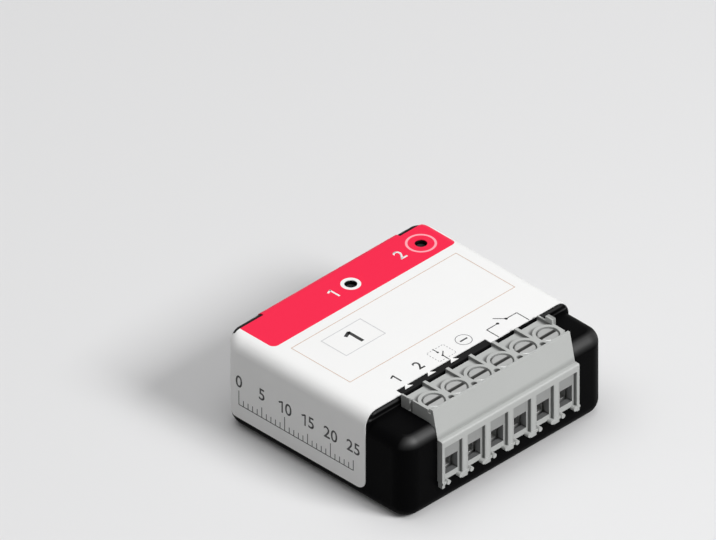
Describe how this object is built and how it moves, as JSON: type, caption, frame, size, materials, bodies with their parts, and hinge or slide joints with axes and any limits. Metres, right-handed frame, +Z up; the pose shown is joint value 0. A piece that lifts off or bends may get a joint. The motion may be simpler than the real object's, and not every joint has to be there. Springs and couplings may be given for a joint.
{
  "type": "smart relay module",
  "caption": "Small black wall-box relay module with a raised labelled deck, a row of screw terminals, a push-button pinhole and a status light.",
  "frame": {"origin": "middle of the case's flat bottom", "axes": "+Z up out of the labelled deck, +X along the row of terminals, -Y towards the wire openings"},
  "size_m": [0.0444, 0.0416, 0.0183],
  "materials": {
    "black_case": "glossy black ABS",
    "label_film": "satin white printed film",
    "clear_plastic": "smoked clear acrylic",
    "terminal_plastic": "matt light grey polyamide",
    "zinc_steel": "zinc-plated",
    "tinned_brass": "tinned",
    "tinned_wire": "tinned",
    "board": "green solder mask",
    "black_plastic": "matt black",
    "relay_plastic": "matt dark polyester",
    "bobbin_plastic": "natural polyamide",
    "magnet_iron": "nickel-plated soft iron",
    "copper_wire": "enamelled copper",
    "contact_copper": "rolled copper alloy",
    "film_case": "yellow moulded box",
    "varistor_coating": "blue epoxy coating",
    "resistor_body": "green cement",
    "ferrite": "sintered ferrite",
    "can_sleeve": "sleeved can",
    "bung_rubber": "rubber bung",
    "chip_ceramic": "ceramic",
    "shield_metal": "tinned steel can",
    "light_lens": "clear lens"
  },
  "bodies": {
    "module": {"lower_case": "black_case", "top_cover": "black_case", "wrap_label": "label_film", "light_pipe": "clear_plastic", "terminal_housing": "terminal_plastic", "contact_bars": "tinned_brass", "main_board": "board", "logic_board": "board", "header_strip": "black_plastic", "header_pins": "tinned_brass", "board_spacers": "black_plastic", "relay_case": "relay_plastic", "relay_base": "black_plastic", "relay_yoke": "magnet_iron", "relay_core": "magnet_iron", "relay_bobbin": "bobbin_plastic", "relay_coil": "copper_wire", "relay_coil_pins": "tinned_brass", "relay_fixed_contact": "contact_copper", "film_capacitor": "film_case", "varistor": "varistor_coating", "fusible_resistor": "resistor_body", "inductor_core": "ferrite", "inductor_winding": "copper_wire", "bulk_capacitors": "can_sleeve", "capacitor_bungs": "bung_rubber", "component_leads": "tinned_wire", "bridge_rectifier": "black_plastic", "switching_regulator": "black_plastic", "relay_driver": "black_plastic", "chip_legs": "tinned_wire", "chip_parts": "chip_ceramic", "radio_board": "board", "radio_shield": "shield_metal", "radio_antenna": "chip_ceramic", "tact_switch_body": "black_plastic", "tact_switch_legs": "tinned_wire", "status_light": "light_lens"},
    "clamp_screw_1": {"terminal_screw_1": "zinc_steel"},
    "wire_cage_1": {"clamp_cage_1": "zinc_steel"},
    "clamp_screw_2": {"terminal_screw_2": "zinc_steel"},
    "wire_cage_2": {"clamp_cage_2": "zinc_steel"},
    "clamp_screw_3": {"terminal_screw_3": "zinc_steel"},
    "wire_cage_3": {"clamp_cage_3": "zinc_steel"},
    "clamp_screw_4": {"terminal_screw_4": "zinc_steel"},
    "wire_cage_4": {"clamp_cage_4": "zinc_steel"},
    "clamp_screw_5": {"terminal_screw_5": "zinc_steel"},
    "wire_cage_5": {"clamp_cage_5": "zinc_steel"},
    "clamp_screw_6": {"terminal_screw_6": "zinc_steel"},
    "wire_cage_6": {"clamp_cage_6": "zinc_steel"},
    "button": {"push_button": "clear_plastic"},
    "switch_plunger": {"tact_switch_plunger": "bobbin_plastic"},
    "armature": {"relay_armature": "magnet_iron", "relay_contact_spring": "contact_copper"}
  },
  "joints": [
    {"name": "screw_turn_1", "type": "hinge", "parent": "module", "child": "clamp_screw_1", "pos_m": [-0.0125, -0.0166, 0.0166], "axis": [0, 0, -1], "range_deg": [0, 1800]},
    {"name": "cage_lift_1", "type": "slide", "parent": "module", "child": "wire_cage_1", "axis": [0, 0, 1], "range_m": [0, 0.0025]},
    {"name": "screw_turn_2", "type": "hinge", "parent": "module", "child": "clamp_screw_2", "pos_m": [-0.0075, -0.0166, 0.0166], "axis": [0, 0, -1], "range_deg": [0, 1800]},
    {"name": "cage_lift_2", "type": "slide", "parent": "module", "child": "wire_cage_2", "axis": [0, 0, 1], "range_m": [0, 0.0025]},
    {"name": "screw_turn_3", "type": "hinge", "parent": "module", "child": "clamp_screw_3", "pos_m": [-0.0025, -0.0166, 0.0166], "axis": [0, 0, -1], "range_deg": [0, 1800]},
    {"name": "cage_lift_3", "type": "slide", "parent": "module", "child": "wire_cage_3", "axis": [0, 0, 1], "range_m": [0, 0.0025]},
    {"name": "screw_turn_4", "type": "hinge", "parent": "module", "child": "clamp_screw_4", "pos_m": [0.0025, -0.0166, 0.0166], "axis": [0, 0, -1], "range_deg": [0, 1800]},
    {"name": "cage_lift_4", "type": "slide", "parent": "module", "child": "wire_cage_4", "axis": [0, 0, 1], "range_m": [0, 0.0025]},
    {"name": "screw_turn_5", "type": "hinge", "parent": "module", "child": "clamp_screw_5", "pos_m": [0.0075, -0.0166, 0.0166], "axis": [0, 0, -1], "range_deg": [0, 1800]},
    {"name": "cage_lift_5", "type": "slide", "parent": "module", "child": "wire_cage_5", "axis": [0, 0, 1], "range_m": [0, 0.0025]},
    {"name": "screw_turn_6", "type": "hinge", "parent": "module", "child": "clamp_screw_6", "pos_m": [0.0125, -0.0166, 0.0166], "axis": [0, 0, -1], "range_deg": [0, 1800]},
    {"name": "cage_lift_6", "type": "slide", "parent": "module", "child": "wire_cage_6", "axis": [0, 0, 1], "range_m": [0, 0.0025]},
    {"name": "button_press", "type": "slide", "parent": "module", "child": "button", "axis": [0, 0, -1], "range_m": [0, 0.0003], "stiffness_N_per_m": 1500, "springref_m": -0.00005},
    {"name": "plunger_press", "type": "slide", "parent": "module", "child": "switch_plunger", "axis": [0, 0, -1], "range_m": [0, 0.0003]},
    {"name": "armature_swing", "type": "hinge", "parent": "module", "child": "armature", "pos_m": [0.0164, -0.0044, 0.0118], "axis": [0, -1, 0], "range_deg": [0, 3], "stiffness_Nm_per_rad": 0.03, "springref_deg": -0.57}
  ],
  "couplings": [
    {"joint": "screw_turn_1", "follows": "cage_lift_1", "rad_per_m": 12566},
    {"joint": "screw_turn_2", "follows": "cage_lift_2", "rad_per_m": 12566},
    {"joint": "screw_turn_3", "follows": "cage_lift_3", "rad_per_m": 12566},
    {"joint": "screw_turn_4", "follows": "cage_lift_4", "rad_per_m": 12566},
    {"joint": "screw_turn_5", "follows": "cage_lift_5", "rad_per_m": 12566},
    {"joint": "screw_turn_6", "follows": "cage_lift_6", "rad_per_m": 12566},
    {"joint": "plunger_press", "follows": "button_press", "ratio": 1}
  ]
}
